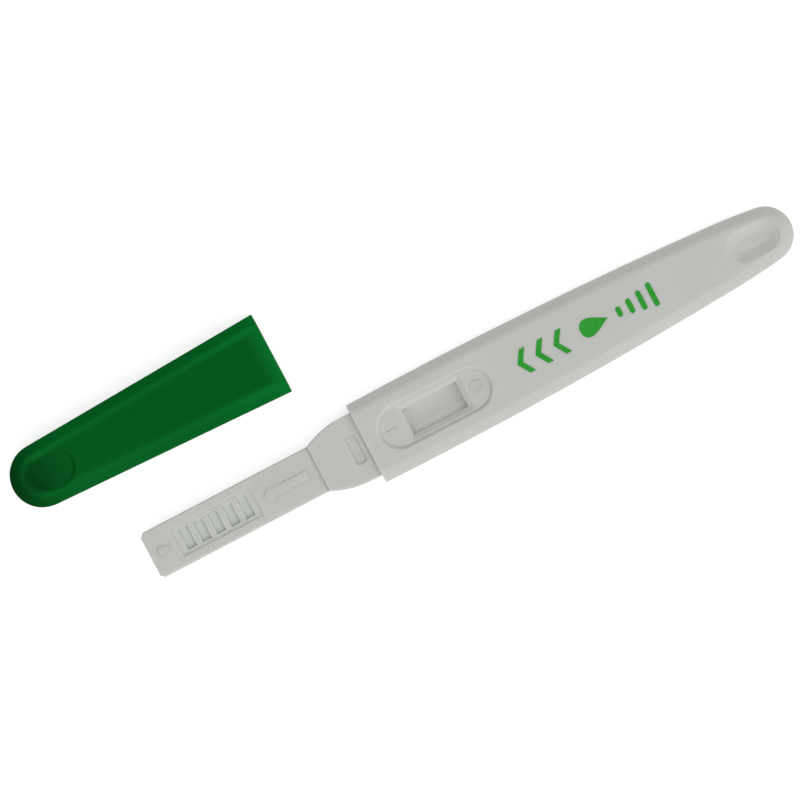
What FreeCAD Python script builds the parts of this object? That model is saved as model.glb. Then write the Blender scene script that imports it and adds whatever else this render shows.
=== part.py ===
import FreeCAD, Part
import math
import os
import Sketcher

# Ovulation midstream test lying on its back, window up, with its cap laid beside it.
# Units are millimetres. X runs along the stick towards the handle, Z is up. The origin
# is on the underside of the housing, straight below the middle of the result window.

SIZES = {
    # Housing, seen from above
    "housing_length": 95.7,
    "housing_depth": 8.6,
    "belly_width": 17.64,
    "belly_setback": 16.3,
    "end_radius": 5.73,
    "round_off_length": 14.9,
    "round_off_drop": 1.0,
    # Housing walls and edges
    "wall": 1.2,
    "skin": 1.2,
    "bevel_width": 2.1,
    "bevel_drop": 0.9,
    "bevel_blend": 2.5,
    "edge_round": 0.3,
    "seam_width": 0.12,
    # Shoulder that the cap slides over
    "shoulder_length": 10.8,
    "shoulder_flank": 8.6,
    "cap_gap": 0.1,
    "cap_side_gap": 0.45,
    # Slotted tip
    "tip_length": 37.8,
    "tip_width": 10.0,
    "tip_step": 0.7,
    "tip_corner": 0.8,
    "tip_skin": 0.8,
    "panel_setback": 5.9,
    "panel_length": 18.1,
    "panel_width": 6.2,
    "panel_sink": 0.25,
    "slot_setback": 7.4,
    "slot_pitch": 3.28,
    "slot_count": 5,
    "slot_length": 1.96,
    "slot_width": 4.4,
    # Result window
    "window_setback": 15.5,
    "recess_length": 25.1,
    "recess_width": 9.3,
    "recess_sink": 0.5,
    "recess_slope": 50.0,
    "frame_length": 14.6,
    "frame_width": 7.6,
    "frame_sink": 0.5,
    "opening_length": 12.2,
    "opening_width": 5.6,
    "well_wall": 1.2,
    "well_clearance": 0.45,
    # Finger dimple in the handle
    "dimple_setback": 2.8,
    "dimple_length": 11.4,
    "dimple_width": 6.8,
    "dimple_sink": 0.7,
    "dimple_run": 2.2,
    "dimple_blend": 2.5,
    # Pins and sockets that hold the shells together
    "boss_radius": 1.5,
    "pin_radius": 0.8,
    "pin_reach": 2.0,
    "pin_clearance": 0.05,
    "front_pin_setback": 6.5,
    "front_pin_offset": 5.9,
    "middle_pin_setback": 42.0,
    "middle_pin_offset": 5.7,
    "rear_pin_setback": 60.0,
    "rear_pin_offset": 3.9,
    "end_pin_setback": 77.0,
    # Bed of the test strip
    "bed_rise": 0.8,
    "rail_width": 0.8,
    "rail_gap": 0.15,
    "rib_width": 1.0,
    "rib_pitch": 10.0,
    "rib_count": 6,
    "rib_setback": 2.6,
    # Test strip
    "strip_width": 6.0,
    "strip_setback": 2.1,
    "card_length": 55.0,
    "card_thickness": 0.3,
    "membrane_length": 25.0,
    "membrane_thickness": 0.15,
    "pad_overlap": 2.0,
    "pad_margin": 0.2,
    "conjugate_length": 5.5,
    "conjugate_thickness": 0.4,
    "absorbent_length": 25.0,
    "absorbent_thickness": 0.8,
    "wick_headroom": 0.1,
    "wick_gap": 0.5,
    "wick_side_gap": 0.25,
    "wick_overlap": 3.0,
    "wick_pressed": 0.35,
    "wick_ramp": 3.0,
    # Cap
    "cap_length": 58.3,
    "cap_end_radius": 6.5,
    "cap_wall": 1.2,
    "cap_skin": 1.2,
    "cap_blend": 1.2,
    "nib_setback": 2.3,
    "nib_length": 1.2,
    "nib_width": 5.0,
    "nib_height": 0.35,
    "nib_play": 0.6,
    "thumb_setback": 9.0,
    "thumb_length": 9.2,
    "thumb_width": 8.4,
    "thumb_sink": 0.5,
    "thumb_run": 0.6,
    "thumb_blend": 0.5,
    # Where the cap lies beside the stick
    "cap_mouth_back": 23.8,
    "cap_mouth_aside": 24.9,
    "cap_turn": 0.37,
}

UPPER = 1
LOWER = -1

document = FreeCAD.newDocument("midstream_test")
sheet = document.addObject("Spreadsheet::Sheet", "sizes")
for row, (alias, value) in enumerate(SIZES.items(), start=1):
    sheet.set("A%d" % row, alias)
    sheet.set("B%d" % row, str(value))
    sheet.setAlias("B%d" % row, alias)
document.recompute()


def size(alias):
    return float(sheet.get(alias))


def bound(expression):
    """Writes sizes as references to the sheet: words that name a size get its prefix."""
    words = []
    word = ""
    for letter in expression + " ":
        if letter.isalnum() or letter == "_" or letter == ".":
            word += letter
            continue
        words.append("sizes." + word if word in SIZES else word)
        words.append(letter)
        word = ""
    return "".join(words).strip()


# Places that several pieces share, as expressions of the sizes
PARTING = "housing_depth / 2"
FRONT = "-window_setback"
REAR = "(housing_length - window_setback)"
TIP_FRONT = "(-window_setback - shoulder_length - tip_length)"
TIP_REAR = "(-window_setback - shoulder_length)"
ROUND_OFF = "(housing_length - window_setback - round_off_length)"
BELLY = "(belly_setback - window_setback)"
SIDE_FALL = "(belly_width / 2 - end_radius - round_off_drop)"
SIDE_RADIUS = "(((%s - %s)^2 + %s^2) / (2 * %s))" % (ROUND_OFF, BELLY, SIDE_FALL, SIDE_FALL)
MOUTH_HALF = "(belly_width / 2 - %s + sqrt(%s^2 - belly_setback^2))" % (SIDE_RADIUS, SIDE_RADIUS)
SHOULDER_HALF = "(%s - cap_wall - cap_side_gap)" % MOUTH_HALF
SHOULDER_RISE = "(housing_depth / 2 - cap_skin - cap_gap)"
HOUSING_RISE = "housing_depth / 2"
TIP_RISE = "(%s - tip_step)" % SHOULDER_RISE
RAIL_INSIDE = "(strip_width / 2 + rail_gap)"
CARD_FRONT = "(strip_setback - window_setback)"
BED = "(%s + bed_rise)" % PARTING
CARD_TOP = "(%s + card_thickness)" % BED
WICK_PRESS = "(%s + conjugate_thickness + wick_pressed)" % CARD_TOP
MEMBRANE_TOP = "(%s + membrane_thickness)" % CARD_TOP
MEMBRANE_FRONT = "(-opening_length / 2 - well_wall - pad_margin - pad_overlap)"
MEMBRANE_END = "(%s + membrane_length)" % MEMBRANE_FRONT
CONJUGATE_FRONT = "(%s + pad_overlap - conjugate_length)" % MEMBRANE_FRONT


def new_body(label):
    body = document.addObject("PartDesign::Body", label)
    body.Label = label
    return body


def origin_plane(body, role):
    for feature in body.Origin.OriginFeatures:
        if feature.Role == role:
            return feature
    raise RuntimeError("no plane " + role)


def new_sketch(body, name, level="0", role="XY_Plane"):
    """A sketch on an origin plane, raised along the plane's normal to the level."""
    sketch = body.newObject("Sketcher::SketchObject", name)
    sketch.AttachmentSupport = (origin_plane(body, role), [""])
    sketch.MapMode = "FlatFace"
    sketch.setExpression("AttachmentOffset.Base.z", bound(level))
    return sketch


def fix(sketch, kind, geometry, point, expression):
    """Holds one point of the sketch at a distance from its origin."""
    place = sketch.getPoint(geometry, point)
    now = place.x if kind == "DistanceX" else place.y
    index = sketch.addConstraint(Sketcher.Constraint(kind, -1, 1, geometry, point, now))
    sketch.setExpression("Constraints[%d]" % index, bound(expression))


def fix_radius(sketch, geometry, expression):
    now = sketch.Geometry[geometry].Radius
    index = sketch.addConstraint(Sketcher.Constraint("Radius", geometry, now))
    sketch.setExpression("Constraints[%d]" % index, bound(expression))


def polygon(sketch, corners):
    """A closed outline of straight lines through corners given as pairs of expressions."""
    count = len(corners)
    step = 2 * math.pi / count
    spots = [FreeCAD.Vector(math.cos(step * i), math.sin(step * i), 0) for i in range(count)]
    first = sketch.GeometryCount
    for i in range(count):
        sketch.addGeometry(Part.LineSegment(spots[i], spots[(i + 1) % count]), False)
    for i in range(count):
        sketch.addConstraint(
            Sketcher.Constraint("Coincident", first + i, 2, first + (i + 1) % count, 1))
    for i, (across, up) in enumerate(corners):
        fix(sketch, "DistanceX", first + i, 1, across)
        fix(sketch, "DistanceY", first + i, 1, up)


def rectangle(sketch, left, right, low, high):
    polygon(sketch, [(left, low), (right, low), (right, high), (left, high)])


def circle(sketch, across, up, radius):
    place = sketch.addGeometry(
        Part.Circle(FreeCAD.Vector(1, 1, 0), FreeCAD.Vector(0, 0, 1), 1.0), False)
    fix(sketch, "DistanceX", place, 3, across)
    fix(sketch, "DistanceY", place, 3, up)
    fix_radius(sketch, place, radius)


def round_corners(sketch, left, right, low, high, radius):
    """A rectangle with round corners, its sides given as expressions."""
    unit = 5.0
    up = FreeCAD.Vector(0, 0, 1)
    first = sketch.GeometryCount
    for quarter in range(4):
        turn = quarter * math.pi / 2
        out = FreeCAD.Vector(math.cos(turn), math.sin(turn), 0)
        side = FreeCAD.Vector(-out.y, out.x, 0)
        line = Part.LineSegment(out * unit - side * (unit - 1), out * unit + side * (unit - 1))
        bend = Part.Circle((out + side) * (unit - 1), up, 1.0)
        sketch.addGeometry(line, False)
        sketch.addGeometry(Part.ArcOfCircle(bend, turn, turn + math.pi / 2), False)
    for quarter in range(4):
        line = first + 2 * quarter
        following = first + (2 * quarter + 2) % 8
        sketch.addConstraint(Sketcher.Constraint("Tangent", line, 2, line + 1, 1))
        sketch.addConstraint(Sketcher.Constraint("Tangent", line + 1, 2, following, 1))
        straight = "Vertical" if quarter % 2 == 0 else "Horizontal"
        sketch.addConstraint(Sketcher.Constraint(straight, line))
        if quarter > 0:
            sketch.addConstraint(Sketcher.Constraint("Equal", first + 1, line + 1))
    fix_radius(sketch, first + 1, radius)
    fix(sketch, "DistanceX", first, 1, right)
    fix(sketch, "DistanceY", first + 2, 1, high)
    fix(sketch, "DistanceX", first + 4, 1, left)
    fix(sketch, "DistanceY", first + 6, 1, low)


def stadium(sketch, length, width, middle="0"):
    """A slot shape along X with half round ends."""
    reach = 5.0
    up = FreeCAD.Vector(0, 0, 1)
    right = Part.Circle(FreeCAD.Vector(reach, 0, 0), up, 2.0)
    left = Part.Circle(FreeCAD.Vector(-reach, 0, 0), up, 2.0)
    quarter = math.pi / 2
    sketch.addGeometry(Part.ArcOfCircle(right, -quarter, quarter), False)
    sketch.addGeometry(
        Part.LineSegment(FreeCAD.Vector(reach, 2, 0), FreeCAD.Vector(-reach, 2, 0)), False)
    sketch.addGeometry(Part.ArcOfCircle(left, quarter, 3 * quarter), False)
    sketch.addGeometry(
        Part.LineSegment(FreeCAD.Vector(-reach, -2, 0), FreeCAD.Vector(reach, -2, 0)), False)
    for edge in range(4):
        sketch.addConstraint(Sketcher.Constraint("Tangent", edge, 2, (edge + 1) % 4, 1))
    sketch.addConstraint(Sketcher.Constraint("Equal", 0, 2))
    sketch.addConstraint(Sketcher.Constraint("PointOnObject", 0, 3, -1))
    sketch.addConstraint(Sketcher.Constraint("Horizontal", 1))
    fix_radius(sketch, 0, "%s / 2" % width)
    fix(sketch, "DistanceX", 0, 3, "%s + (%s - %s) / 2" % (middle, length, width))
    fix(sketch, "DistanceX", 2, 3, "%s + (%s - %s) / 2" % (middle, width, length))


def arc_between(centre, start, end):
    """The arc about a centre that runs counterclockwise from the start to the end."""
    radius = (start - centre).Length
    ring = Part.Circle(centre, FreeCAD.Vector(0, 0, 1), radius)
    first = math.atan2(start.y - centre.y, start.x - centre.x)
    last = math.atan2(end.y - centre.y, end.x - centre.x)
    return Part.ArcOfCircle(ring, first, last if last > first else last + 2 * math.pi)


def mirrored(point):
    return FreeCAD.Vector(point.x, -point.y, 0)


def housing_outline(sketch, inset="0"):
    """The long outline: bowed sides that blend into the round end of the handle.

    Its first places are worked out here, so that the sketch settles on the right arcs.
    """
    inward = size(inset) if inset in SIZES else 0.0
    front = inward - size("window_setback")
    rear = size("housing_length") - size("window_setback")
    turn_x = rear - size("round_off_length")
    belly_x = size("belly_setback") - size("window_setback")
    fall = size("belly_width") / 2 - size("end_radius") - size("round_off_drop")
    bow = ((turn_x - belly_x) ** 2 + fall ** 2) / (2 * fall)
    side_radius = bow - inward
    end_radius = size("end_radius") - inward
    belly = FreeCAD.Vector(belly_x, size("belly_width") / 2 - bow, 0)
    end = FreeCAD.Vector(rear - size("end_radius"), 0, 0)
    corner = FreeCAD.Vector(
        front, belly.y + math.sqrt(side_radius ** 2 - (front - belly.x) ** 2), 0)
    turn = FreeCAD.Vector(
        turn_x, belly.y + math.sqrt(side_radius ** 2 - (turn_x - belly.x) ** 2), 0)
    inside = (belly - turn).normalize()
    away = turn - end
    blend_radius = (end_radius ** 2 - away.dot(away)) / (2 * (inside.dot(away) + end_radius))
    blend = turn + inside * blend_radius
    meet = end + (end - blend).normalize() * end_radius
    sketch.addGeometry(Part.LineSegment(corner, mirrored(corner)), False)
    sketch.addGeometry(arc_between(mirrored(belly), mirrored(corner), mirrored(turn)), False)
    sketch.addGeometry(arc_between(mirrored(blend), mirrored(turn), mirrored(meet)), False)
    sketch.addGeometry(arc_between(end, mirrored(meet), meet), False)
    sketch.addGeometry(arc_between(blend, meet, turn), False)
    sketch.addGeometry(arc_between(belly, turn, corner), False)
    sketch.addConstraint(Sketcher.Constraint("Coincident", 0, 2, 1, 1))
    for edge in range(1, 5):
        sketch.addConstraint(Sketcher.Constraint("Tangent", edge, 2, edge + 1, 1))
    sketch.addConstraint(Sketcher.Constraint("Coincident", 5, 2, 0, 1))
    sketch.addConstraint(Sketcher.Constraint("Vertical", 0))
    sketch.addConstraint(Sketcher.Constraint("PointOnObject", 3, 3, -1))
    sketch.addConstraint(Sketcher.Constraint("Symmetric", 1, 3, 5, 3, -1))
    sketch.addConstraint(Sketcher.Constraint("Equal", 1, 5))
    sketch.addConstraint(Sketcher.Constraint("Equal", 2, 4))
    fix(sketch, "DistanceX", 0, 1, "%s + %s" % (FRONT, inset))
    fix(sketch, "DistanceX", 5, 3, BELLY)
    fix(sketch, "DistanceY", 5, 3, "belly_width / 2 - " + SIDE_RADIUS)
    fix(sketch, "DistanceX", 3, 3, "%s - end_radius" % REAR)
    fix(sketch, "DistanceX", 5, 1, ROUND_OFF)
    fix_radius(sketch, 5, "%s - %s" % (SIDE_RADIUS, inset))
    fix_radius(sketch, 3, "end_radius - %s" % inset)


def shoulder_outline(sketch):
    """Two flanks that swell from the tip and run straight into the housing."""
    narrow = 5.0
    broad = 7.0
    start = FreeCAD.Vector(-26, narrow, 0)
    rise = broad - narrow
    run = 8.0
    radius = (run ** 2 + rise ** 2) / (2 * rise)
    swell = FreeCAD.Vector(start.x + run, broad, 0)
    centre = FreeCAD.Vector(swell.x, broad - radius, 0)
    root = FreeCAD.Vector(-14, broad, 0)
    sketch.addGeometry(Part.LineSegment(start, mirrored(start)), False)
    sketch.addGeometry(arc_between(mirrored(centre), mirrored(start), mirrored(swell)), False)
    sketch.addGeometry(Part.LineSegment(mirrored(swell), mirrored(root)), False)
    sketch.addGeometry(Part.LineSegment(mirrored(root), root), False)
    sketch.addGeometry(Part.LineSegment(root, swell), False)
    sketch.addGeometry(arc_between(centre, swell, start), False)
    sketch.addConstraint(Sketcher.Constraint("Coincident", 0, 2, 1, 1))
    sketch.addConstraint(Sketcher.Constraint("Tangent", 1, 2, 2, 1))
    sketch.addConstraint(Sketcher.Constraint("Coincident", 2, 2, 3, 1))
    sketch.addConstraint(Sketcher.Constraint("Coincident", 3, 2, 4, 1))
    sketch.addConstraint(Sketcher.Constraint("Tangent", 4, 2, 5, 1))
    sketch.addConstraint(Sketcher.Constraint("Coincident", 5, 2, 0, 1))
    sketch.addConstraint(Sketcher.Constraint("Symmetric", 0, 1, 0, 2, -1))
    sketch.addConstraint(Sketcher.Constraint("Symmetric", 3, 1, 3, 2, -1))
    sketch.addConstraint(Sketcher.Constraint("Symmetric", 4, 2, 2, 1, -1))
    sketch.addConstraint(Sketcher.Constraint("Horizontal", 4))
    fix(sketch, "DistanceX", 0, 1, TIP_REAR)
    fix(sketch, "DistanceY", 0, 1, "tip_width / 2")
    fix(sketch, "DistanceX", 5, 1, "%s + shoulder_flank" % TIP_REAR)
    fix(sketch, "DistanceX", 3, 2, "%s + wall" % FRONT)
    fix(sketch, "DistanceY", 3, 2, SHOULDER_HALF)


def cap_outline(sketch, inset="0"):
    """The cap's outline: straight sides that narrow to a round closed end."""
    inward = size(inset) if inset in SIZES else 0.0
    radius = size("cap_end_radius") - inward
    half = size("belly_width") / 2 - inward
    end = FreeCAD.Vector(size("cap_end_radius") - size("cap_length"), 0, 0)
    corner = FreeCAD.Vector(0, half, 0)
    spread = math.atan2(half, -end.x) + math.acos(radius / math.hypot(half, end.x))
    meet = end + FreeCAD.Vector(math.cos(spread), math.sin(spread), 0) * radius
    sketch.addGeometry(Part.LineSegment(mirrored(corner), corner), False)
    sketch.addGeometry(Part.LineSegment(corner, meet), False)
    sketch.addGeometry(arc_between(end, meet, mirrored(meet)), False)
    sketch.addGeometry(Part.LineSegment(mirrored(meet), mirrored(corner)), False)
    sketch.addConstraint(Sketcher.Constraint("Coincident", 0, 2, 1, 1))
    sketch.addConstraint(Sketcher.Constraint("Tangent", 1, 2, 2, 1))
    sketch.addConstraint(Sketcher.Constraint("Tangent", 2, 2, 3, 1))
    sketch.addConstraint(Sketcher.Constraint("Coincident", 3, 2, 0, 1))
    sketch.addConstraint(Sketcher.Constraint("Vertical", 0))
    sketch.addConstraint(Sketcher.Constraint("PointOnObject", 2, 3, -1))
    sketch.addConstraint(Sketcher.Constraint("PointOnObject", 0, 1, -2))
    sketch.addConstraint(Sketcher.Constraint("Equal", 1, 3))
    fix(sketch, "DistanceX", 2, 3, "cap_end_radius - cap_length")
    fix(sketch, "DistanceY", 0, 2, "%s - %s" % (MOUTH_HALF, inset))
    fix_radius(sketch, 2, "cap_end_radius - %s" % inset)


def add_pad(body, sketch, name, length, up=True):
    pad = body.newObject("PartDesign::Pad", name)
    pad.Profile = sketch
    pad.setExpression("Length", bound(length))
    pad.Reversed = not up
    document.recompute()
    return pad


def add_pocket(body, sketch, name, depth, up=False):
    """A cut that runs down from its sketch, or up into the solid above it."""
    pocket = body.newObject("PartDesign::Pocket", name)
    pocket.Profile = sketch
    pocket.setExpression("Length", bound(depth))
    pocket.Reversed = up
    document.recompute()
    return pocket


def edges_of(feature, wanted):
    names = []
    for number, edge in enumerate(feature.Shape.Edges, start=1):
        if wanted(edge):
            names.append("Edge%d" % number)
    return names


def at_height(edge, height):
    box = edge.BoundBox
    return abs(box.ZMin - height) < 1e-4 and abs(box.ZMax - height) < 1e-4


def add_bevel(body, feature, height, front, width, drop):
    """Slopes the long edges and the round end, and leaves the square front as it is."""
    chamfer = body.newObject("PartDesign::Chamfer", "bevel")
    names = edges_of(feature, lambda edge: at_height(edge, height)
                     and abs(edge.BoundBox.XMax - front) > 1e-3)
    chamfer.Base = (feature, names)
    chamfer.ChamferType = "Two distances"
    chamfer.setExpression("Size", bound(drop))
    chamfer.setExpression("Size2", bound(width))
    document.recompute()
    return chamfer


def add_fillet(body, feature, name, names, radius):
    fillet = body.newObject("PartDesign::Fillet", name)
    fillet.Base = (feature, names)
    fillet.setExpression("Radius", bound(radius))
    document.recompute()
    return fillet


def add_hollow(body, name, sketch, sink, run, blend):
    """A finger hollow: a pocket whose sloping sides are blended into its floor."""
    pocket = add_pocket(body, sketch, name, sink)
    pocket.setExpression("TaperAngle", bound("-atan(%s / %s)" % (run, sink)))
    document.recompute()
    low = sketch.getGlobalPlacement().Base.z - size(sink)
    names = edges_of(pocket, lambda edge: at_height(edge, low))
    return add_fillet(body, pocket, name + "_blend", names, blend)


def shell_form(label, side):
    """The outer form and the hollow that both shells share, on one side of the parting."""
    body = new_body(label)
    up = side == UPPER
    outer = size("housing_depth") if up else 0.0
    outline = new_sketch(body, label + "_outline", PARTING)
    housing_outline(outline)
    pad = add_pad(body, outline, label + "_block", HOUSING_RISE, up)
    bevel = add_bevel(body, pad, outer, -size("window_setback"), "bevel_width", "bevel_drop")
    inner_edges = edges_of(bevel, lambda edge: at_height(edge, outer)
                           and edge.BoundBox.XMax > -size("window_setback") + 1e-3)
    add_fillet(body, bevel, label + "_blend", inner_edges, "bevel_blend")

    shoulder = new_sketch(body, label + "_shoulder_outline", PARTING)
    shoulder_outline(shoulder)
    add_pad(body, shoulder, label + "_shoulder", SHOULDER_RISE, up)

    tip = new_sketch(body, label + "_tip_outline", PARTING)
    front = TIP_FRONT
    half = "tip_width / 2"
    polygon(tip, [(front + " + tip_corner", "-" + half), (TIP_REAR + " + wall", "-" + half),
                  (TIP_REAR + " + wall", half), (front + " + tip_corner", half),
                  (front, half + " - tip_corner"), (front, "tip_corner - " + half)])
    tip_pad = add_pad(body, tip, label + "_tip", TIP_RISE, up)
    parting = size("housing_depth") / 2
    shoulder_rise = parting - size("cap_skin") - size("cap_gap")
    heights = [parting + side * shoulder_rise,
               parting + side * (shoulder_rise - size("tip_step"))]
    face_front = -size("window_setback") - 1e-3
    rims = edges_of(tip_pad, lambda edge: edge.BoundBox.XMax < face_front + 2e-3
                    and any(at_height(edge, height) for height in heights)
                    and edge.BoundBox.XMin < face_front - size("shoulder_flank") / 4)
    blank = add_fillet(body, tip_pad, label + "_rims", rims, "edge_round")

    seam = body.newObject("PartDesign::Chamfer", label + "_seam")
    seam.Base = (blank, edges_of(blank, lambda edge: at_height(edge, parting)))
    seam.setExpression("Size", bound("seam_width"))
    document.recompute()

    cavity = new_sketch(body, label + "_cavity_outline", PARTING)
    housing_outline(cavity, "wall")
    add_pocket(body, cavity, label + "_cavity", HOUSING_RISE + " - skin", up)

    throat = new_sketch(body, label + "_throat_outline", PARTING)
    narrow = "(tip_width / 2 - wall)"
    broad = "(%s - wall)" % SHOULDER_HALF
    swell = TIP_REAR + " + shoulder_flank"
    polygon(throat, [(TIP_REAR + " + wall", "-" + narrow), (swell, "-" + broad),
                     (FRONT + " + wall", "-" + broad), (FRONT + " + wall", broad),
                     (swell, broad), (TIP_REAR + " + wall", narrow)])
    add_pocket(body, throat, label + "_throat", SHOULDER_RISE + " - skin", up)

    channel = new_sketch(body, label + "_channel_outline", PARTING)
    rectangle(channel, TIP_FRONT + " + wall", TIP_REAR + " + wall", "-" + narrow, narrow)
    add_pocket(body, channel, label + "_channel", TIP_RISE + " - tip_skin", up)
    return body


def pin_places():
    """Pairs of pins across the housing, and one on its middle line near the end."""
    places = []
    for name in ("front_pin", "middle_pin", "rear_pin"):
        along = "%s + %s_setback" % (FRONT, name)
        places.append((along, name + "_offset"))
        places.append((along, "-" + name + "_offset"))
    places.append((FRONT + " + end_pin_setback", "0"))
    return places


def circles(sketch, radius):
    for along, across in pin_places():
        circle(sketch, along, across, radius)


def latch_pocket(body, label, level, up):
    sketch = new_sketch(body, label + "_latch_outline", level)
    middle = FRONT + " - nib_setback"
    reach = "nib_length / 2 + nib_play"
    half = "(nib_width / 2 + nib_play)"
    round_corners(sketch, "%s - (%s)" % (middle, reach), "%s + %s" % (middle, reach),
                  "-" + half, half, "nib_play")
    add_pocket(body, sketch, label + "_latch", "nib_height + cap_gap", up)


def upper_shell():
    body = shell_form("upper_shell", UPPER)
    roof = "(housing_depth - skin)"

    # Well round the result window, down to just above the strip
    well_bottom = "%s + well_clearance" % MEMBRANE_TOP
    well = new_sketch(body, "well_outline", well_bottom)
    across = "(opening_width / 2 + well_wall)"
    along = "(opening_length / 2 + well_wall)"
    rectangle(well, "-" + along, along, "-" + across, across)
    add_pad(body, well, "well", "%s - (%s)" % (roof, well_bottom))

    # Ribs that press the wick and the absorbent pad onto the strip
    press = new_sketch(body, "wick_press_outline", WICK_PRESS)
    middle = CONJUGATE_FRONT + " + wick_overlap / 2"
    rectangle(press, middle + " - rib_width / 2", middle + " + rib_width / 2",
              "-strip_width / 2", "strip_width / 2")
    add_pad(body, press, "wick_press", "%s - %s" % (roof, WICK_PRESS))
    pad_top = "%s + absorbent_thickness" % CARD_TOP
    press = new_sketch(body, "pad_press_outline", pad_top)
    for copy in (3, 4):
        start = "%s + rib_setback + %d * rib_pitch" % (FRONT, copy)
        rectangle(press, start, start + " + rib_width", "-" + across, across)
    add_pad(body, press, "pad_press", "%s - (%s)" % (roof, pad_top))

    # Pins that stand into the sockets of the other shell
    pins = new_sketch(body, "pins_outline", PARTING + " - pin_reach")
    circles(pins, "pin_radius")
    add_pad(body, pins, "pins", "pin_reach + housing_depth / 2 - skin")

    # Result window: soft edged recess, sloping frame and the opening itself
    top = "housing_depth"
    recess = new_sketch(body, "recess_outline", top)
    stadium(recess, "recess_length", "recess_width")
    pocket = add_pocket(body, recess, "recess", "recess_sink")
    pocket.setExpression("TaperAngle", bound("-recess_slope"))
    document.recompute()
    floor = "housing_depth - recess_sink"
    rim = new_sketch(body, "frame_outline", floor)
    round_corners(rim, "-frame_length / 2", "frame_length / 2",
                  "-frame_width / 2", "frame_width / 2", "edge_round")
    hole = new_sketch(body, "opening_outline", floor + " - frame_sink")
    round_corners(hole, "-opening_length / 2", "opening_length / 2",
                  "-opening_width / 2", "opening_width / 2", "edge_round")
    document.recompute()
    frame = body.newObject("PartDesign::SubtractiveLoft", "frame")
    frame.Profile = rim
    frame.Sections = [(hole, [""])]
    frame.Ruled = True
    document.recompute()
    opening = new_sketch(body, "opening_cut_outline", floor)
    round_corners(opening, "-opening_length / 2", "opening_length / 2",
                  "-opening_width / 2", "opening_width / 2", "edge_round")
    add_pocket(body, opening, "opening", "housing_depth")

    # Slots of the tip, in a shallow panel
    tip_top = "%s + %s" % (PARTING, TIP_RISE)
    panel = new_sketch(body, "panel_outline", tip_top)
    start = TIP_FRONT + " + panel_setback"
    round_corners(panel, start, start + " + panel_length",
                  "-panel_width / 2", "panel_width / 2", "edge_round")
    add_pocket(body, panel, "panel", "panel_sink")
    slot = new_sketch(body, "slot_outline", tip_top)
    start = TIP_FRONT + " + slot_setback"
    rectangle(slot, start, start + " + slot_length", "-slot_width / 2", "slot_width / 2")
    cut = add_pocket(body, slot, "slot", "tip_skin + panel_sink")
    slots = body.newObject("PartDesign::LinearPattern", "slots")
    slots.Originals = [cut]
    slots.Direction = (slot, ["H_Axis"])
    slots.Mode = "Spacing"
    slots.setExpression("Offset", bound("slot_pitch"))
    slots.setExpression("Occurrences", bound("slot_count"))
    body.Tip = slots
    document.recompute()

    latch_pocket(body, "upper", "%s + %s" % (PARTING, SHOULDER_RISE), False)
    dimple = new_sketch(body, "finger_dimple_outline", top)
    stadium(dimple, "dimple_length", "dimple_width",
            REAR + " - dimple_setback - dimple_length / 2")
    add_hollow(body, "finger_dimple", dimple, "dimple_sink", "dimple_run", "dimple_blend")
    return body


def lower_shell():
    body = shell_form("lower_shell", LOWER)
    floor = "skin"

    # Bed of the strip: cross ribs under it, rails beside it and a stop at its end
    rib = new_sketch(body, "rib_outline", BED)
    start = FRONT + " + rib_setback"
    rectangle(rib, start, start + " + rib_width", "-" + RAIL_INSIDE, RAIL_INSIDE)
    pad = add_pad(body, rib, "rib", "%s - %s" % (BED, floor), False)
    ribs = body.newObject("PartDesign::LinearPattern", "ribs")
    ribs.Originals = [pad]
    ribs.Direction = (rib, ["H_Axis"])
    ribs.Mode = "Spacing"
    ribs.setExpression("Offset", bound("rib_pitch"))
    ribs.setExpression("Occurrences", bound("rib_count"))
    body.Tip = ribs
    document.recompute()
    rails = new_sketch(body, "rails_outline", CARD_TOP)
    card_end = "(%s + card_length + rail_gap)" % CARD_FRONT
    outside = "(%s + rail_width)" % RAIL_INSIDE
    rectangle(rails, start, card_end + " + rail_width", RAIL_INSIDE, outside)
    rectangle(rails, start, card_end + " + rail_width", "-" + outside, "-" + RAIL_INSIDE)
    add_pad(body, rails, "rails", "%s - %s" % (CARD_TOP, floor), False)
    stop = new_sketch(body, "stop_outline", CARD_TOP)
    rectangle(stop, card_end, card_end + " + rail_width", "-" + RAIL_INSIDE, RAIL_INSIDE)
    add_pad(body, stop, "stop", "%s - %s" % (CARD_TOP, floor), False)

    # Bosses with sockets
    bosses = new_sketch(body, "lower_bosses_outline", PARTING)
    circles(bosses, "boss_radius")
    add_pad(body, bosses, "lower_bosses", PARTING + " - " + floor, False)
    sockets = new_sketch(body, "sockets_outline", PARTING)
    circles(sockets, "pin_radius + pin_clearance")
    add_pocket(body, sockets, "sockets", "pin_reach + 4 * pin_clearance")

    latch_pocket(body, "lower", "%s - %s" % (PARTING, SHOULDER_RISE), True)
    return body


def strip_piece(label, corners, width):
    """A layer of the test strip: its side view, as wide as the strip."""
    body = new_body(label)
    side = new_sketch(body, label + "_side", "0", "XZ_Plane")
    polygon(side, corners)
    pad = add_pad(body, side, label + "_layer", width)
    pad.SideType = "Symmetric"
    document.recompute()
    return body


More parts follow.
